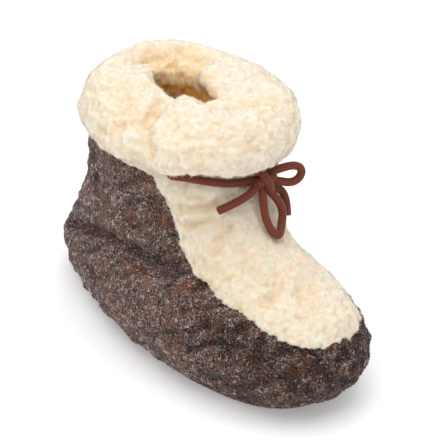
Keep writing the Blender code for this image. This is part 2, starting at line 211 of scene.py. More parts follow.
# Cuff: the fold between its lobes, which forks on the outer side, with a dent behind it and a swelling below,
# two hollows in the far wall of the hole, a swelling on each of its sides, and a crease and a roll in front
CUFF_FOLDS = (
    Fold((26, -14, 168), (36, -7, 166), (46, -2, 163), 5.0, 4.6),
    Fold((46, -2, 163), (50, 6, 160), (53, 16, 153), 5.0, 3.6),
    Fold((46, -2, 163), (50, -10, 165), (60, -15, 158), 5.0, 4.0),
    Fold((47, -10, 166), (42, -28, 169), (35, -40, 171), 8.0, 2.5),
    Fold((56, -2, 150), (58, 2, 156), (54, 0, 160), 7.0, -2.5),
    Fold((2, -68, 172), (-21, -64, 170), (-27, -44, 170), 9.0, 5.0),
    Fold((-24, -70, 172), (-18, -64, 168), (-13, -62, 163), 4.5, 6.5),
    Fold((8, -58, 164), (20, -38, 166), (25, -20, 168), 8.0, -5.0),
    Fold((-24, -34, 166), (-18, -20, 162), (-10, -4, 166), 8.0, -5.0),
    Fold((10, 8, 170), (-8, 14, 168), (-34, 24, 167), 5.0, 3.5),
    Fold((-6, 6, 166), (-22, -4, 169), (-38, 4, 171), 8.0, -2.5),
)

# Where the cuff is fuller, over the heel
CUFF_SWELLS = (Fold((40, -70, 170), (10, -84, 170), (-30, -84, 170), 14.0, -1.8),)


def read_points(piece):
    """Vertices of a piece in millimetres and their normals."""
    mesh = piece.data
    points = np.empty(len(mesh.vertices) * 3, np.float32)
    normals = np.empty(len(mesh.vertices) * 3, np.float32)
    mesh.vertices.foreach_get("co", points)
    mesh.vertex_normals.foreach_get("vector", normals)
    return points.reshape(-1, 3).astype(float) / MM, normals.reshape(-1, 3).astype(float)


def write_points(piece, points):
    """Move the vertices of a piece to places in millimetres."""
    piece.data.vertices.foreach_set("co", (points * MM).astype(np.float32).ravel())
    piece.data.update()


def store(mesh, name, values):
    """Keep one number for each vertex as an attribute that a material reads."""
    mesh.attributes.new(name, "FLOAT", "POINT").data.foreach_set("value", values.astype(np.float32))


def unit(vectors):
    """Vectors at length 1."""
    return vectors / np.maximum(np.linalg.norm(vectors, axis=-1, keepdims=True), 1e-9)


def scatter(cells, seed):
    """Three even random numbers for each lattice cell, the same every run."""
    mixed = cells[..., 0] * 73856093 ^ cells[..., 1] * 19349663 ^ cells[..., 2] * 83492791 ^ seed * 40503
    parts = []
    for _ in range(3):
        mixed = ((mixed ^ (mixed >> 15)) * 0x2C1B3C6D) & 0xFFFFFFFF
        mixed = ((mixed ^ (mixed >> 12)) * 0x297A2D39) & 0xFFFFFFFF
        mixed = mixed ^ (mixed >> 15)
        parts.append(mixed / 2.0**32)
    return np.stack(parts, -1)


def noise(points, size, seed):
    """Smooth noise between about -0.6 and 0.6 whose lumps are this many millimetres wide."""
    place = points / size
    cell = np.floor(place).astype(np.int64)
    part = place - cell
    fade = part**3 * (part * (part * 6.0 - 15.0) + 10.0)
    total = np.zeros(len(points))
    for corner in itertools.product((0, 1), repeat=3):
        slope = scatter(cell + corner, seed) * 2.0 - 1.0
        share = np.prod(np.where(np.array(corner) == 1, fade, 1.0 - fade), axis=-1)
        total += share * ((part - corner) * slope).sum(axis=-1)
    return total


def nearest_tuft(points, size, seed):
    """Way to the nearest tuft's middle, and its distance as a part of the tuft's width."""
    place = points / size
    cell = np.floor(place).astype(np.int64)
    nearest = np.full(len(points), np.inf)
    way = np.zeros(points.shape)
    for step in itertools.product((-1, 0, 1), repeat=3):
        there = cell + step
        here = there + scatter(there, seed) - place
        distance = np.linalg.norm(here, axis=-1)
        closer = distance < nearest
        nearest[closer] = distance[closer]
        way[closer] = here[closer]
    return way * size, nearest


def fold_depth(points, folds):
    """How far the folds push each point in: the deepest trough there and the highest ridge."""
    t = np.linspace(0.0, 1.0, 25)[:, None]
    trough, ridge = np.zeros(len(points)), np.zeros(len(points))
    for fold in folds:
        start, middle, end = (np.array(place, float) for place in fold[:3])
        bend = 2.0 * middle - (start + end) / 2.0
        line = (1.0 - t) ** 2 * start + 2.0 * t * (1.0 - t) * bend + t**2 * end
        near = np.full(len(points), np.inf)
        for place in line:
            near = np.minimum(near, ((points - place) ** 2).sum(axis=-1))
        depth = fold.depth * np.exp(-near / fold.width**2)
        trough, ridge = np.maximum(trough, depth), np.minimum(ridge, depth)
    return trough + ridge


# Lumps made by noise: the scale of their height, their width and the seed that tells them apart
Lumps = namedtuple("Lumps", "height width seed")
FELT_WAVES = Lumps(2.0, 19.0, 11)
FELT_RIDGES = Lumps(3.4, 6.5, 12)
FELT_GRAIN = Lumps(0.9, 3.6, 13)
SOLE_LUMPS = Lumps(0.5, 5.0, 31)
SOLE_GRAIN = Lumps(0.3, 2.5, 32)
WOOL_WAVES = Lumps(2.4, 21.0, 0)
WOOL_LUMPS = Lumps(2.0, 10.0, 50)
WOOL_CURLS = Lumps(0.8, 2.6, 51)


def raised(points, lumps, seed=0):
    """Height of these lumps at each point."""
    return lumps.height * noise(points, lumps.width, lumps.seed + seed)


# Depth at which a fold counts as whole
FULL_FOLD = 5.0

# Thickness of the felt, the way its soft ridges run, forward and up, and how far they are drawn out
FELT_THICK = 5.0
RIDGE_WAY = np.array((-0.28, 0.78, 0.56))
RIDGE_DRAWN = 0.75

# Painted shade on the felt: how much darker it is in a whole crease, for each millimetre that a valley is
# deep and round the toe, where it begins here and is whole after this length
CREASE_SHADE = 1.3
VALLEY_SHADE = 0.55
TOE_SHADE = 0.9
TOE_FROM = 30.0
TOE_RUN = 80.0


def combed(points, share):
    """Points drawn together along the ridges' way, so that noise at them is longer that way."""
    return points - (points @ RIDGE_WAY)[:, None] * RIDGE_WAY * share


def felt_ridges(points):
    """Height of the felt's soft ridges, which are long the way they run."""
    return raised(combed(points, RIDGE_DRAWN), FELT_RIDGES)


def shade_painted_on_felt(points):
    """How much painted shade the felt takes: high in creases and between ridges, and a little higher round
    the toe.
    """
    crease = np.clip(fold_depth(points, FELT_FOLDS), 0.0, FULL_FOLD) / FULL_FOLD
    toe = np.clip((points[:, 1] - TOE_FROM) / TOE_RUN, 0.0, 1.0)
    return CREASE_SHADE * crease - VALLEY_SHADE * felt_ridges(points) + TOE_SHADE * toe


# Middle line of the foot's room, heel to toe, and of the leg's room, up through the collar
SPINE = ((2, -88, 34), (4, -40, 34), (4, 20, 32), (-6, 70, 28), (-12, 100, 26))
LEG_LINE = ((0, -60, 40), (-2, -34, 80), (-4, -32, 175))

# Rays towards that room start this far off a wall, and a wall that looks into it faces it at least this much
OFF_WALL = 0.6
LEAST_FACING = 0.2


def faces_room(piece, points, normals):
    """True where nothing stands between a wall and the middle of the room for foot and leg."""
    near = np.full(len(points), np.inf)
    middle = np.zeros(points.shape)
    starts = points + normals * OFF_WALL
    for line in (SPINE, LEG_LINE):
        line = np.array(line, float)
        for start, end in zip(line, line[1:]):
            run = end - start
            t = np.clip(((starts - start) @ run) / (run @ run), 0.0, 1.0)
            there = start + t[:, None] * run
            distance = np.linalg.norm(there - starts, axis=-1)
            closer = distance < near
            near[closer] = distance[closer]
            middle[closer] = there[closer]
    walls = BVHTree.FromObject(piece, bpy.context.evaluated_depsgraph_get())
    ways = (middle - starts) / near[:, None]
    rays = zip(starts * MM, ways, near * MM)
    clear = [walls.ray_cast(Vector(start), Vector(way), far)[0] is None for start, way, far in rays]
    return np.array(clear) & ((ways * normals).sum(axis=-1) > LEAST_FACING)


def make_active(piece):
    """Select this piece alone."""
    bpy.ops.object.select_all(action="DESELECT")
    bpy.context.view_layer.objects.active = piece
    piece.select_set(True)


def soft_copy(name, node, voxel, rounds):
    """Copy of a node that is merged, meshed evenly and smoothed."""
    piece = bpy.data.objects.new(name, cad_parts[node].data.copy())
    bpy.context.scene.collection.objects.link(piece)
    piece.data.name = name
    piece.data.materials.clear()
    make_active(piece)
    bpy.ops.object.mode_set(mode="EDIT")
    bpy.ops.mesh.select_all(action="SELECT")
    bpy.ops.mesh.remove_doubles(threshold=0.02 * MM)
    bpy.ops.object.mode_set(mode="OBJECT")
    remesh = piece.modifiers.new("even mesh", "REMESH")
    remesh.mode = "VOXEL"
    remesh.voxel_size = voxel * MM
    bpy.ops.object.modifier_apply(modifier=remesh.name)
    relax = piece.modifiers.new("relax", "SMOOTH")
    relax.factor = 0.5
    relax.iterations = rounds
    bpy.ops.object.modifier_apply(modifier=relax.name)
    bpy.ops.object.shade_smooth()
    return piece


def settle(piece, slot, *nodes):
    """Make the piece ride with the boot and stand for its nodes; its slot is not used."""
    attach(piece, "root")
    if nodes:
        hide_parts(*nodes)


def joined_mesh(name, points, triangles):
    """Smooth mesh of triangles between points in millimetres."""
    mesh = bpy.data.meshes.new(name)
    mesh.vertices.add(len(points))
    mesh.vertices.foreach_set("co", (points * MM).astype(np.float32).ravel())
    mesh.loops.add(triangles.size)
    mesh.loops.foreach_set("vertex_index", triangles.astype(np.int32).ravel())
    mesh.polygons.add(len(triangles))
    mesh.polygons.foreach_set("loop_start", np.arange(0, triangles.size, 3, dtype=np.int32))
    mesh.update(calc_edges=True)
    mesh.validate()
    mesh.shade_smooth()
    return mesh


def seeds_on(piece, count, share, normals, rng):
    """Points spread over a piece by area and by each vertex's share, with normals mixed from its own."""
    points, _ = read_points(piece)
    mesh = piece.data
    mesh.calc_loop_triangles()
    corners = np.empty(len(mesh.loop_triangles) * 3, np.int32)
    mesh.loop_triangles.foreach_get("vertices", corners)
    corners = corners.reshape(-1, 3)
    a, b, c = (points[corners[:, i]] for i in range(3))
    weight = np.linalg.norm(np.cross(b - a, c - a), axis=-1) * share[corners].mean(axis=-1)
    total = np.cumsum(weight)
    pick = np.searchsorted(total, rng.random(count) * total[-1])
    pick = np.minimum(pick, len(corners) - 1)
    u, v = rng.random((2, count))
    flip = u + v > 1.0
    u, v = np.where(flip, 1.0 - u, u), np.where(flip, 1.0 - v, v)
    mix = np.stack([1.0 - u - v, u, v], -1)[..., None]
    out = unit((normals[corners[pick]] * mix).sum(axis=1))
    return (points[corners[pick]] * mix).sum(axis=1), out


# Fibres stay this far above the floor
FLOOR_CLEAR = 0.3


def fibres(name, roots, tips, normals, width, kinds, round_off):
    """Joined mesh of thin, straight, three-sided fibres that end in a point.

    kinds is the material of each fibre, and round_off is how far the shading follows the skin under the
    fibres rather than each fibre's own side.
    """
    run = unit(tips - roots)
    side = unit(np.cross(run, normals))
    up = np.cross(side, run)
    corners, shading = [], []
    for angle in (math.pi * 0.5, math.pi * 7.0 / 6.0, math.pi * 11.0 / 6.0):
        ring = side * math.cos(angle) + up * math.sin(angle)
        corners.append(roots + ring * width[:, None] / 2.0)
        shading.append(normals * round_off + ring * (1.0 - round_off))
    shading.append(normals * round_off + run * (1.0 - round_off))
    points = np.stack([*corners, tips], axis=1).reshape(-1, 3)
    points[:, 2] = np.maximum(points[:, 2], FLOOR_CLEAR)
    faces = np.array(((0, 1, 2), (0, 3, 1), (1, 3, 2), (2, 3, 0)))
    triangles = (np.arange(len(roots))[:, None, None] * 4 + faces).reshape(-1, 3)
    mesh = joined_mesh(name, points, triangles)
    mesh.polygons.foreach_set("material_index", np.repeat(kinds, len(faces)).astype(np.int32))
    mesh.normals_split_custom_set_from_vertices(unit(np.stack(shading, axis=1).reshape(-1, 3)))
    piece = bpy.data.objects.new(name, mesh)
    bpy.context.scene.collection.objects.link(piece)
    return piece


# Rays start this far off the wool, what they meet within this reach hides it, and the cuff presses the shaft
# in under itself by this much
OFF_WOOL = 0.2
COVER_REACH = 6.0
UNDER_CUFF = 2.5


def uncovered(piece, cover):
    """1 on the vertices that nothing of the other piece lies close over, else 0."""
    points, normals = read_points(piece)
    over = BVHTree.FromObject(cover, bpy.context.evaluated_depsgraph_get())
    rays = zip((points + normals * OFF_WOOL) * MM, normals)
    free = [over.ray_cast(Vector(start), Vector(way), COVER_REACH * MM)[0] is None for start, way in rays]
    return np.array(free, float)


# Middle of the collar's hole, and its half width and half length
HOLE_MIDDLE = np.array((-2.5, -33.0))
HOLE_SIZE = np.array((18.0, 29.0))

# Out from the hole, in parts of its size: where its wall's wool ends, where its edge ends and where the
# cuff's outer half begins
HOLE_WALL = 1.3
HOLE_EDGE = 1.5
OUTER_HALF = 1.9

# Heights in the hole: below which its wool takes warm painted shade and the cuff's folds fade, and over what
# depth they fade, below which the pile takes the root and then the deep colour as painted shade, and above
# which the shaft's inside has pile
SHADE_BELOW = 172.0
FOLDS_BELOW = 164.0
FOLDS_FADE = 8.0
ROOTS_BELOW = 166.0
DEEP_BELOW = 155.0
PILE_ABOVE = 105.0


def throat(points):
    """How far a point lies out from the leg's room: 1 on the wall of the collar's hole."""
    return np.linalg.norm((points[:, :2] - HOLE_MIDDLE) / HOLE_SIZE, axis=-1)


def under_skin(points, normals):
    """True on the cuff's hidden side, which lies towards the shaft and moves with the side that shows."""
    out = unit(points[:, :2] - HOLE_MIDDLE)
    inward = np.maximum((normals[:, :2] * out).sum(axis=-1), normals[:, 2]) < 0.0
    return inward & (throat(points) > OUTER_HALF)


# Fibres on each piece: each has four triangles, and a piece stays under 200,000
FELT_FIBRES = 49000
VAMP_FIBRES = 42000
CUFF_FIBRES = 46000

# How far the shading of pile and of fuzz follows the skin under them
PILE_ROUND = 0.94
FUZZ_ROUND = 0.7

# The pile's fibres start this deep in the skin, stray this much, lean this much to their tuft's middle, hang
# down a little and stand out from the skin by at least the last share
ROOT_DEPTH = 0.3
PILE_STRAY = 0.75
TUFT_LEAN = 0.25
PILE_SAG = np.array((0.0, 0.0, -0.1))
LEAST_RISE = 0.12


def wool_pile(name, base, count, share, soft, wool, seed):
    """Shearling pile on a base: each fibre leans to its tuft's middle and takes the soft normals' light."""
    rng = np.random.default_rng(seed)
    places, normals = seeds_on(base, count, share, soft, rng)
    way, distance = nearest_tuft(places, wool.tuft / MM, seed)
    way -= normals * (way * normals).sum(axis=-1, keepdims=True)
    loose = rng.normal(size=(count, 3)) * PILE_STRAY
    upright = rng.uniform(0.2, 0.75, count)[:, None]
    reach = wool.fibre / MM * (0.5 + rng.random(count))[:, None]
    lean = unit(normals * upright + loose + TUFT_LEAN * way / (wool.tuft / MM) + PILE_SAG)
    lean += normals * np.clip(LEAST_RISE - (lean * normals).sum(axis=-1, keepdims=True), 0.0, None)
    # Painted shade: curl fibres grow commoner towards a tuft's edge, root fibres gather at its edge and down
    # the hole, and deep fibres lower in the hole
    kinds = (rng.random(count) < 0.2 + 0.4 * distance).astype(int)
    kinds[(distance > 0.7) & (rng.random(count) < 0.2)] = 2
    in_hole = throat(places) < HOLE_WALL
    kinds[in_hole & (places[:, 2] < ROOTS_BELOW)] = 2
    kinds[in_hole & (places[:, 2] < DEEP_BELOW)] = 3
    width = wool.fibre_width / MM * (0.7 + 0.6 * rng.random(count))
    roots, tips = places - normals * ROOT_DEPTH, places + lean * reach
    pile = fibres(name, roots, tips, normals, width, kinds, PILE_ROUND)
    for part in ("tip", "curl", "root", "deep"):
        pile.data.materials.append(fibre_material("shearling " + part, getattr(wool, part)))
    return pile


# The way that felt fibres lie, and the way and the swirls that turn them
FIBRE_WAY = np.array((0.25, 1.0, 0.45))
SWIRL_WAY = np.array((0.6, 0.0, 0.8))
SWIRLS = Lumps(5.0, 22.0, 0)

# Shares of dark, brown, rust and grey fibres on level felt; the rest are pale. Where the felt takes painted
# shade, in creases, valleys and round the toe, more of them are dark.
FELT_MIX = (0.42, 0.24, 0.08, 0.14)
SHADE_DARKENS = 1.2

# Streaks of one colour: how far they are drawn out and how much single fibres stray from them
FLECKS = Lumps(1.0, 1.7, 1)
FLECK_DRAWN = 0.55
FLECK_STRAY = 0.15

# Streaks whose brown fibres are rust instead: how far they are drawn out, and above what height they begin
RUST_STREAKS = Lumps(1.0, 6.0, 2)
RUST_DRAWN = 0.7
RUST_ABOVE = 0.1


def felt_fuzz(name, base, count, share, felt, seed):
    """Felt fibres of five colours: they lie along the foot, in short streaks, and darken as painted shade in
    the valleys.
    """
    rng = np.random.default_rng(seed)
    places, normals = seeds_on(base, count, share, read_points(base)[1], rng)
    swirl = raised(places, SWIRLS, seed)[:, None]
    along = FIBRE_WAY + swirl * SWIRL_WAY + rng.normal(size=(count, 3))
    along = unit(along - normals * (along * normals).sum(axis=-1, keepdims=True))
    reach = felt.fibre / MM * (0.5 + rng.random(count))[:, None]
    lift = (0.06 + 0.45 * rng.random(count) ** 3)[:, None]
    roots, tips = places - along * reach / 2.0, places + reach * (along / 2.0 + normals * lift)
    flecks = raised(combed(places, FLECK_DRAWN), FLECKS, seed) + FLECK_STRAY * rng.random(count)
    # Painted shade: in creases, valleys and round the toe the fibres draw darker colours
    draw = (np.argsort(np.argsort(flecks)) / count) ** np.exp(SHADE_DARKENS * shade_painted_on_felt(places))
    kinds = np.searchsorted(np.cumsum(FELT_MIX), draw)
    rusty = raised(combed(places, RUST_DRAWN), RUST_STREAKS, seed) > RUST_ABOVE
    kinds[(kinds == 1) & rusty] = 2
    width = felt.fibre_width / MM * (0.7 + 0.6 * rng.random(count))
    fuzz = fibres(name, roots, tips, normals, width, kinds, FUZZ_ROUND)
    for part in ("dark", "brown", "rust", "grey", "pale"):
        fuzz.data.materials.append(fibre_material(part + " felt fibres", getattr(felt, part)))
    return fuzz


def add_node(tree, kind, links=None, stops=(), **settings):
    """Shader node with its settings, its inputs' links or values, and a colour ramp's stops."""
    made = tree.nodes.new(kind)
    for key, value in settings.items():
        setattr(made, key, value)
    for key, value in (links or {}).items():
        if isinstance(value, bpy.types.NodeSocket):
            tree.links.new(value, made.inputs[key])
        else:
            made.inputs[key].default_value = value
    if stops:
        elements = made.color_ramp.elements
        while len(elements) < len(stops):
            elements.new(0.5)
        for element, (position, shade) in zip(elements, stops):
            element.position = position
            element.color = (*shade, 1.0)
    return made


def new_material(name, **sockets):
    """Principled material with these constant sockets, its tree and its shader."""
    made = bpy.data.materials.new(name)
    made.use_nodes = True
    shader = made.node_tree.nodes["Principled BSDF"]
    for key, value in sockets.items():
        shader.inputs[key.replace("_", " ")].default_value = value
    return made, made.node_tree, shader


def fibre_material(name, shade):
    """Single wool fibres of one colour: matt, with a soft bloom at grazing angles."""
    made, _, _ = new_material(
        name,
        Base_Color=(*shade, 1.0),
        Roughness=0.95,
        Sheen_Weight=0.15,
        Sheen_Roughness=0.5,
        Specular_IOR_Level=0.15,
    )
    return made


def shearling_skin(wool):
    """Sheared sheepskin under its pile: cream, with warm painted shade in its hollows, lit through by
    scattering.
    """
    made, tree, shader = new_material(
        "sheared sheepskin",
        Roughness=0.95,
        Sheen_Weight=0.2,
        Sheen_Roughness=0.5,
        Subsurface_Weight=0.7,
        Subsurface_Radius=(1.0, 0.6, 0.3),
        Subsurface_Scale=0.004,
        Specular_IOR_Level=0.1,
    )
    place = add_node(tree, "ShaderNodeTexCoord").outputs["Object"]
    curl_width = 1.6 * MM
    pattern = {"Vector": place, "Scale": 1.0 / curl_width, "Detail": 3.0, "Roughness": 0.6}
    curls = add_node(tree, "ShaderNodeTexNoise", pattern).outputs["Fac"]
    painted_shade = add_node(tree, "ShaderNodeAttribute", attribute_name="painted_shade").outputs["Fac"]
    mottled = add_node(tree, "ShaderNodeMath", {0: curls, 1: 0.5, 2: painted_shade}, operation="MULTIPLY_ADD")
    # Painted shade pushes the cream towards the root and deep colours in hollows, folds and the hole
    stops = ((0.18, wool.tip), (0.42, wool.curl), (0.80, wool.root), (0.96, wool.deep))
    cream = add_node(tree, "ShaderNodeValToRGB", {"Fac": mottled.outputs["Value"]}, stops)
    tree.links.new(cream.outputs["Color"], shader.inputs["Base Color"])
    bump = add_node(tree, "ShaderNodeBump", {"Height": curls, "Strength": 0.4, "Distance": 0.8 * MM})
    tree.links.new(bump.outputs["Normal"], shader.inputs["Normal"])
    return made


def melange_felt(felt):
    """Thick wool felt: matted fibres of several browns and greys, dull and a little hairy."""
    made, tree, shader = new_material(
        "melange wool felt", Roughness=0.97, Sheen_Weight=0.15, Sheen_Roughness=0.5, Specular_IOR_Level=0.1
    )
    place = add_node(tree, "ShaderNodeTexCoord").outputs["Object"]
    pattern = {"Vector": place, "Scale": 1.0 / felt.fleck, "Detail": 5.0, "Roughness": 0.8}
    flecks = add_node(tree, "ShaderNodeTexNoise", pattern).outputs["Fac"]
    stops = ((0.37, felt.dark), (0.47, felt.brown), (0.56, felt.grey), (0.66, felt.pale))
    melange = add_node(tree, "ShaderNodeValToRGB", {"Fac": flecks}, stops).outputs["Color"]
    pattern = {"Vector": place, "Scale": 1.0 / felt.patch, "Detail": 6.0, "Roughness": 0.75}
    patches = add_node(tree, "ShaderNodeTexNoise", pattern).outputs["Fac"]
    rusty = add_node(tree, "ShaderNodeMapRange", {"Value": patches, 1: 0.47, 2: 0.68, 3: 0.0, 4: 0.75})
    links = {0: rusty.outputs["Result"], 6: melange, 7: (*felt.rust, 1.0)}
    mixed = add_node(tree, "ShaderNodeMix", links, data_type="RGBA")
    # Painted shade: the felt mixes towards its darkest colour in creases, valleys and round the toe
    painted_shade = add_node(tree, "ShaderNodeAttribute", attribute_name="painted_shade").outputs["Fac"]
    shade = add_node(tree, "ShaderNodeMapRange", {"Value": painted_shade, 1: 0.0, 2: 1.2, 3: 0.0, 4: 0.7})
    links = {0: shade.outputs["Result"], 6: mixed.outputs[2], 7: (*felt.dark, 1.0)}
    deep = add_node(tree, "ShaderNodeMix", links, data_type="RGBA")
    tree.links.new(deep.outputs[2], shader.inputs["Base Color"])
    bump = add_node(tree, "ShaderNodeBump", {"Height": flecks, "Strength": 0.6, "Distance": 0.7 * MM})
    tree.links.new(bump.outputs["Normal"], shader.inputs["Normal"])
    return made


def braided_polyester(cord):
    """Round braid of textured yarn: red-brown crowns and darker gaps of painted shade, with a dull satin
    sheen.
    """
    made, tree, shader = new_material(
        "braided cord", Roughness=0.7, Sheen_Weight=0.2, Sheen_Roughness=0.4, Specular_IOR_Level=0.3
    )
    relief = add_node(tree, "ShaderNodeAttribute", attribute_name="relief").outputs["Fac"]
    stops = ((0.15, cord.dark), (0.75, cord.light))
    yarn = add_node(tree, "ShaderNodeValToRGB", {"Fac": relief}, stops)
    tree.links.new(yarn.outputs["Color"], shader.inputs["Base Color"])
    return made


# Spacing of the points along a cord, how often its bends are rounded off and from how many points
CORD_STEP = 0.5
EASE_ROUNDS = 40
EASE_POINTS = 60

# The cut ends of a cord are a little thinner, and dark in the middle as painted shade
CUT_END = 0.86
CUT_RELIEF = 0.2


def run_along(path):
    """Distance along a path at each of its points."""
    return np.concatenate([[0.0], np.cumsum(np.linalg.norm(np.diff(path, axis=0), axis=-1))])


def smooth_line(points):
    """Even points along a Catmull-Rom curve through these points."""
    points = np.asarray(points, float)
    ends = np.concatenate([2 * points[:1] - points[1:2], points, 2 * points[-1:] - points[-2:-1]])
    t = np.linspace(0.0, 1.0, 40, endpoint=False)[:, None]
    curve = []
    for a, b, c, d in zip(ends, ends[1:], ends[2:], ends[3:]):
        square, cube = 2 * a - 5 * b + 4 * c - d, 3 * b - a - 3 * c + d
        curve.append(0.5 * (2 * b + (c - a) * t + square * t**2 + cube * t**3))
    curve = np.concatenate(curve + [points[-1:]])
    along = run_along(curve)
    even = np.linspace(0.0, along[-1], max(2, round(along[-1] / CORD_STEP)))
    return np.stack([np.interp(even, along, curve[:, i]) for i in range(3)], -1)


def eased(path):
    """Path whose sharp bends are rounded off, with its ends kept."""
    path = path.copy()
    for _ in range(EASE_ROUNDS):
        path[1:-1] = (path[:-2] + 2.0 * path[1:-1] + path[2:]) / 4.0
    return smooth_line(np.concatenate([path[: -1 : len(path) // EASE_POINTS], path[-1:]]))


def braided_tube(name, path, cord, sides=24):
    """Closed tube along the path with the crossing strands of a round braid as relief."""
    radius, strand, relief = (size / MM for size in (cord.diameter / 2.0, cord.strand, cord.strand_height))
    run = unit(np.gradient(path, axis=0))
    across = np.cross(run[0], (0.3, 0.2, 1.0))
    frames = []
    for way in run:
        across = across - way * (across @ way)
        across /= np.linalg.norm(across)
        frames.append((across, np.cross(way, across)))
    frames = np.array(frames)
    along = run_along(path)
    angle = np.arange(sides) / sides * 2.0 * math.pi
    carriers = round(math.pi * cord.diameter / MM / strand / 2.0)
    turn = math.pi / strand
    one_way = np.cos(carriers * angle[None, :] + turn * along[:, None])
    other_way = np.cos(carriers * angle[None, :] - turn * along[:, None])
    height = 0.5 + 0.5 * one_way * other_way
    reach = radius - relief + relief * height
    reach[[0, -1]] *= CUT_END
    cosine, sine = np.cos(angle)[None, :, None], np.sin(angle)[None, :, None]
    ring = frames[:, None, 0] * cosine + frames[:, None, 1] * sine
    points = path[:, None] + reach[..., None] * ring
    rings = len(path)
    points = np.concatenate([points.reshape(-1, 3), path[:1], path[-1:]])
    i, j = np.meshgrid(np.arange(rings - 1), np.arange(sides), indexing="ij")
    here, beside = i * sides + j, i * sides + (j + 1) % sides
    quads = np.stack([here, beside, beside + sides, here, beside + sides, here + sides], -1).reshape(-1, 3)
    j = np.arange(sides)
    first = np.stack([(j + 1) % sides, j, np.full(sides, rings * sides)], -1)
    base = (rings - 1) * sides
    last = np.stack([base + j, base + (j + 1) % sides, np.full(sides, rings * sides + 1)], -1)
    mesh = joined_mesh(name, points, np.concatenate([quads, first, last]))
    # The relief also sets the colour: painted shade in the gaps between strands
    store(mesh, "relief", np.concatenate([height.ravel(), [CUT_RELIEF, CUT_RELIEF]]))
    piece = bpy.data.objects.new(name, mesh)
    bpy.context.scene.collection.objects.link(piece)
    return piece


# How far a tuft falls off from its middle, in parts of its height
TUFT_FALL = 1.6

# Warm painted shade in the wool's hollows: at a tuft's edge, for each millimetre between lumps, and by the
# depth of a fold or of the hole at which it would be whole
TUFT_SHADE = 0.25
LUMP_SHADE = 0.1
FOLD_RUN = 14.0
HOLE_RUN = 36.0

# The hole's painted shade fades out over this much of its size, and is at most this
HOLE_FADE = 0.5
HOLE_SHADE = 0.6


def shape_wool(piece, points, normals, folded, wool, seed):
    """Raise lumps, tufts and curls on wool, paint shade into its hollows, and give its normals without the
    curls.
    """
    lumps = raised(points, WOOL_WAVES, seed) + raised(points, WOOL_LUMPS, seed)
    write_points(piece, points + normals * lumps[:, None])
    points, _ = read_points(piece)
    _, near = nearest_tuft(points, wool.tuft / MM, seed)
    near = np.clip(near, 0.0, 1.0)
    tufts = wool.tuft_height / MM * (1.0 - TUFT_FALL * near**2)
    write_points(piece, points + normals * tufts[:, None])
    tufted, soft = read_points(piece)
    curls = raised(points, WOOL_CURLS, seed)
    write_points(piece, tufted + normals * curls[:, None])
    # Painted shade: warmer at tuft edges, in folds, between lumps and down the collar's hole
    painted_shade = TUFT_SHADE * near**2 + np.clip(folded, 0.0, FULL_FOLD) / FOLD_RUN
    painted_shade += np.clip(-lumps, 0.0, 1.0) * LUMP_SHADE
    in_hole = np.clip((HOLE_EDGE - throat(points)) / HOLE_FADE, 0.0, 1.0)
    painted_shade += in_hole * np.clip((SHADE_BELOW - points[:, 2]) / HOLE_RUN, 0.0, HOLE_SHADE)
    store(piece.data, "painted_shade", painted_shade)
    piece.data.materials.append(shearling_skin(wool))
    return soft


def line_faces(piece, inside):
    """Give the faces whose corners look into the room the second material, the lining."""
    mesh = piece.data
    corners = np.empty(len(mesh.loops), np.int32)
    starts = np.empty(len(mesh.polygons), np.int32)
    sizes = np.empty(len(mesh.polygons), np.int32)
    mesh.loops.foreach_get("vertex_index", corners)
    mesh.polygons.foreach_get("loop_start", starts)
    mesh.polygons.foreach_get("loop_total", sizes)
    share = np.add.reduceat(inside[corners].astype(float), starts) / sizes
    mesh.polygons.foreach_set("material_index", (share > 0.5).astype(np.int32))


# Heights on the felt: where its lumps begin, over what rise they grow whole, and where its fuzz is whole
LUMPS_FROM = 4.0
LUMPS_RISE = 8.0
FUZZ_WHOLE = 6.0


class SLIPPER_OT_felt(bpy.types.Operator):
    """Felt foot and heel quarter with their creases and fuzz"""

    bl_idname = "slipper.felt"
    bl_label = "Felt upper"

    def execute(self, context):
        boot = context.scene.slipper_boot
        piece = soft_copy("felt_foot", "felt_upper", voxel=1.8, rounds=6)
        points, normals = read_points(piece)
        inside = faces_room(piece, points, normals)
        outward = np.where(inside[:, None], -normals, normals)
        outside = points + outward * np.where(inside, FELT_THICK, 0.0)[:, None]
        folded = fold_depth(outside, FELT_FOLDS)
        points -= outward * folded[:, None]
        lumps = raised(points, FELT_WAVES) + felt_ridges(points) + raised(points, FELT_GRAIN)
        off_floor = np.clip((points[:, 2] - LUMPS_FROM) / LUMPS_RISE, 0.0, 1.0)
        points += normals * (lumps * off_floor)[:, None]
        write_points(piece, points)
        piece.data.materials.append(melange_felt(boot.felt))
        piece.data.materials.append(shearling_skin(boot.wool))
        line_faces(piece, inside)
        settle(piece, "felt", "felt_upper")
        # Painted shade for the felt's creases, valleys and toe
        store(piece.data, "painted_shade", shade_painted_on_felt(points))
        share = np.where(inside, 0.0, np.clip(points[:, 2] / FUZZ_WHOLE, 0.1, 1.0))
        fuzz = felt_fuzz("felt_fuzz", piece, FELT_FIBRES, share, boot.felt, boot.seed + 1)
        settle(fuzz, "felt")
        return {"FINISHED"}


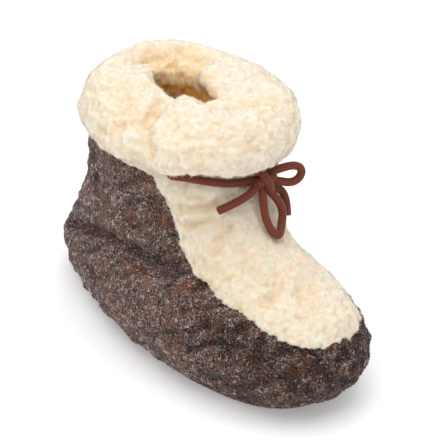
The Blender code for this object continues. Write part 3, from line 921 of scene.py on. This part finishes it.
class SLIPPER_OT_shearling(bpy.types.Operator):
    """Shearling vamp and shaft with their tufts and pile"""

    bl_idname = "slipper.shearling"
    bl_label = "Shearling vamp and shaft"

    def execute(self, context):
        boot = context.scene.slipper_boot
        piece = soft_copy("shearling_vamp", "shearling_upper", voxel=1.25, rounds=6)
        points, normals = read_points(piece)
        inside = faces_room(piece, points, normals)
        outward = np.where(inside[:, None], -normals, normals)
        shown = uncovered(piece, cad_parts["cuff"])
        depth = fold_depth(points, VAMP_FOLDS)
        pressed = np.where(inside, 0.0, UNDER_CUFF * (1.0 - shown))
        points -= outward * (depth + pressed)[:, None]
        soft = shape_wool(piece, points, normals, depth, boot.wool, boot.seed + 2)
        settle(piece, "shearling", "shearling_upper")
        lining = np.where(points[:, 2] > PILE_ABOVE, 0.5, 0.0)
        share = np.where(inside, lining, 1.0) * shown
        pile = wool_pile("shearling_pile", piece, VAMP_FIBRES, share, soft, boot.wool, boot.seed + 2)
        settle(pile, "shearling")
        return {"FINISHED"}


class SLIPPER_OT_cuff(bpy.types.Operator):
    """Turned-down cuff with its folds, tufts and pile"""

    bl_idname = "slipper.cuff"
    bl_label = "Cuff"

    def execute(self, context):
        boot = context.scene.slipper_boot
        piece = soft_copy("cuff_roll", "cuff", voxel=1.15, rounds=8)
        points, normals = read_points(piece)
        low = np.clip((FOLDS_BELOW - points[:, 2]) / FOLDS_FADE, 0.0, 1.0)
        depth = fold_depth(points, CUFF_FOLDS) * (1.0 - low * (throat(points) <= HOLE_EDGE))
        pushed = np.where(under_skin(points, normals), -depth, depth)
        points -= normals * (pushed + fold_depth(points, CUFF_SWELLS))[:, None]
        soft = shape_wool(piece, points, normals, depth, boot.wool, boot.seed + 3)
        settle(piece, "cuff_fleece", "cuff")
        share = uncovered(piece, bpy.data.objects["shearling_vamp"])
        pile = wool_pile("cuff_pile", piece, CUFF_FIBRES, share, soft, boot.wool, boot.seed + 3)
        settle(pile, "cuff_fleece")
        return {"FINISHED"}


class SLIPPER_OT_sole(bpy.types.Operator):
    """Felt sole and fleece footbed"""

    bl_idname = "slipper.sole"
    bl_label = "Sole and footbed"

    def execute(self, context):
        boot = context.scene.slipper_boot
        sole = soft_copy("felt_sole", "sole", voxel=1.9, rounds=3)
        points, normals = read_points(sole)
        rough = raised(points, SOLE_LUMPS) + raised(points, SOLE_GRAIN)
        points += normals * np.where(normals[:, 2] < -0.6, 0.0, rough)[:, None]
        points[:, 2] = np.maximum(points[:, 2], 0.0)
        write_points(sole, points)
        sole.data.materials.append(melange_felt(boot.felt))
        settle(sole, "sole_felt", "sole")
        footbed = soft_copy("fleece_footbed", "insole", voxel=1.9, rounds=3)
        points, normals = read_points(footbed)
        shape_wool(footbed, points, normals * 0.5, np.zeros(len(points)), boot.wool, boot.seed + 5)
        settle(footbed, "footbed", "insole")
        return {"FINISHED"}


# Where the cord crosses the ankle: from inside the pile, out through each exit and on to the knot
OUTER_BAR = (
    (35, 8, 131.5),
    (36, 15, 132),
    (32.4, 20.9, 133),
    (22, 29.3, 131),
    (11, 34, 128),
    (0, 35.5, 125.5),
)
INNER_BAR = (
    (-47.5, -6, 133),
    (-50.5, 0, 133),
    (-49, 6, 133),
    (-43, 17.5, 131),
    (-36, 26, 128),
    (-28, 31, 125.5),
)

# The bow round the knot's middle: across to the outer side, forward, up
INNER_LOOP = (
    (-6, 2, 5.5),
    (-13.5, 5.5, 8),
    (-19, 8, 8.5),
    (-23.5, 9, 4.5),
    (-21.5, 9, -1),
    (-15.5, 8, -3),
    (-7, 4, -0.8),
)
FRONT_LOOP = (
    (-1.5, 5, -6),
    (-5, 9.5, -12.5),
    (-7, 11.5, -20),
    (-3.5, 15.5, -27),
    (2.5, 21, -30.5),
    (6.5, 18, -26),
    (7, 12, -18),
    (4, 4.5, -5.5),
)
OUTER_END = ((7.5, 2, -2.3), (14, 4, -4.5), (24, 3.5, -7.5), (36, 1.5, -10.5))
FRONT_END = ((-5.5, 0.5, -5.5), (-13, 2, -11), (-14.5, 5, -19), (-12.5, 9, -26))
KNOT_WRAP = (
    (3.5, -2.5, 7.0),
    (3.0, 3.5, 7.0),
    (1.5, 6.4, 3.0),
    (-0.5, 6.6, -2.0),
    (-2.0, 3.5, -6.5),
    (-2.5, -2.5, -7.2),
)
KNOT_UNDER = ((-7.0, -1.0, -1.0), (-5.5, 3.0, 1.5), (0.0, 4.6, 2.4), (5.0, 3.2, 0.5), (7.0, -0.5, -1.5))

# Each cord: its bar, a point in the knot, its loop, a point back in the knot, its end, and its nodes
Strand = namedtuple("Strand", "name bar through loop back end nodes")
STRANDS = (
    Strand(
        "cord_outer",
        OUTER_BAR,
        (0.8, -1.5, 0.5),
        INNER_LOOP,
        (0.0, 0.5, -1.0),
        OUTER_END,
        ("cord_bar_outer", "cord_loop_inner", "cord_end_outer"),
    ),
    Strand(
        "cord_inner",
        INNER_BAR,
        (-1.5, -2.0, -1.0),
        FRONT_LOOP,
        (0.5, -1.5, 1.0),
        FRONT_END,
        ("cord_bar_inner", "cord_loop_front", "cord_end_front"),
    ),
)


class SLIPPER_OT_cord(bpy.types.Operator):
    """Braided cord across the ankle, tied in a bow"""

    bl_idname = "slipper.cord"
    bl_label = "Cord and bow"

    def execute(self, context):
        cord = context.scene.slipper_boot.cord
        skin = braided_polyester(cord)
        low, high = (np.array(corner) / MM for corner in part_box("cord_knot"))
        knot = (low + high) / 2.0
        wraps = [braided_tube("bow_knot", smooth_line(knot + np.array(KNOT_WRAP)), cord)]
        wraps.append(braided_tube("bow_under", smooth_line(knot + np.array(KNOT_UNDER)), cord))
        for wrap in wraps:
            wrap.data.materials.append(skin)
        settle(wraps[0], "braid", "cord_knot")
        settle(wraps[1], "braid")
        for strand in STRANDS:
            bow = knot + np.array([strand.through, *strand.loop, strand.back, *strand.end], float)
            path = eased(smooth_line(np.concatenate([np.array(strand.bar, float), bow])))
            piece = braided_tube(strand.name, path, cord)
            piece.data.materials.append(skin)
            settle(piece, "braid", *strand.nodes)
        return {"FINISHED"}


# Floor in metres: its width, and how far it lies under the sole so that the two never share a plane
FLOOR_SIZE = 8.0
FLOOR_DROP = 0.0002

# Lamps in metres: place, size and share of the key light's power. They point at the boot's middle.
Lamp = namedtuple("Lamp", "name place size share")
LAMPS = (Lamp("key", (0.0, 0.0, 1.9), 2.4, 1.0), Lamp("side", (0.9, 0.2, 1.2), 1.0, 0.08))
LAMP_AIM = Vector((0.0, 0.0, 0.08))


class SLIPPER_OT_stage(bpy.types.Operator):
    """Pale floor, soft light and the camera"""

    bl_idname = "slipper.stage"
    bl_label = "Stage"

    def execute(self, context):
        stage = context.scene.slipper_boot.stage
        bpy.ops.object.select_all(action="DESELECT")
        bpy.ops.mesh.primitive_plane_add(size=FLOOR_SIZE, location=(0.0, 0.0, -FLOOR_DROP))
        floor = context.active_object
        floor.name = "floor"
        bpy.ops.object.transform_apply(location=True)
        paper, _, _ = new_material(
            "white paper",
            Base_Color=(*stage.floor, 1.0),
            Roughness=0.9,
            Emission_Color=(1.0, 1.0, 1.0, 1.0),
            Emission_Strength=stage.glow,
        )
        floor.data.materials.append(paper)
        world = bpy.data.worlds.new("studio")
        world.use_nodes = True
        world.node_tree.nodes["Background"].inputs["Color"].default_value = (1.0, 1.0, 1.0, 1.0)
        world.node_tree.nodes["Background"].inputs["Strength"].default_value = stage.sky
        context.scene.world = world
        for row in LAMPS:
            lamp = bpy.data.objects.new(row.name, bpy.data.lights.new(row.name, "AREA"))
            lamp.data.size = row.size
            lamp.data.energy = stage.key * row.share
            lamp.location = row.place
            lamp.rotation_euler = (LAMP_AIM - Vector(row.place)).to_track_quat("-Z", "Y").to_euler()
            context.scene.collection.objects.link(lamp)
        camera = bpy.data.objects.new("camera", bpy.data.cameras.new("camera"))
        context.scene.collection.objects.link(camera)
        turn, rise = stage.azimuth, stage.elevation
        back = Vector((math.sin(turn) * math.cos(rise), -math.cos(turn) * math.cos(rise), math.sin(rise)))
        camera.location = Vector(stage.target) + back * stage.distance
        camera.rotation_euler = back.to_track_quat("Z", "Y").to_euler()
        camera.data.sensor_width = 36.0
        camera.data.lens = stage.lens
        camera.data.clip_end = 20.0
        context.scene.camera = camera
        context.scene.view_settings.view_transform = "Standard"
        return {"FINISHED"}


class SLIPPER_PT_panel(bpy.types.Panel):
    """Pieces of the slipper boot"""

    bl_idname = "SLIPPER_PT_panel"
    bl_label = "Slipper boot"
    bl_space_type = "VIEW_3D"
    bl_region_type = "UI"
    bl_category = "Slipper boot"

    def draw(self, context):
        boot = context.scene.slipper_boot
        for group in (boot.wool, boot.felt, boot.cord, boot.stage):
            box = self.layout.box()
            for key in group.__annotations__:
                box.prop(group, key)
        for operator in OPERATORS:
            self.layout.operator(operator.bl_idname)


OPERATORS = (
    SLIPPER_OT_stage,
    SLIPPER_OT_cord,
    SLIPPER_OT_felt,
    SLIPPER_OT_shearling,
    SLIPPER_OT_cuff,
    SLIPPER_OT_sole,
)
CLASSES = (SlipperWool, SlipperFelt, SlipperCord, SlipperStage, SlipperBoot, *OPERATORS, SLIPPER_PT_panel)


def register():
    """Add the classes and the boot's settings."""
    for each in CLASSES:
        bpy.utils.register_class(each)
    bpy.types.Scene.slipper_boot = PointerProperty(type=SlipperBoot)


def unregister():
    """Take the settings and the classes away again."""
    del bpy.types.Scene.slipper_boot
    for each in reversed(CLASSES):
        bpy.utils.unregister_class(each)


def main():
    """Make the stage and every piece."""
    register()
    bpy.ops.slipper.stage()
    bpy.ops.slipper.cord()
    bpy.ops.slipper.felt()
    bpy.ops.slipper.shearling()
    bpy.ops.slipper.cuff()
    bpy.ops.slipper.sole()


if __name__ == "__main__":
    main()
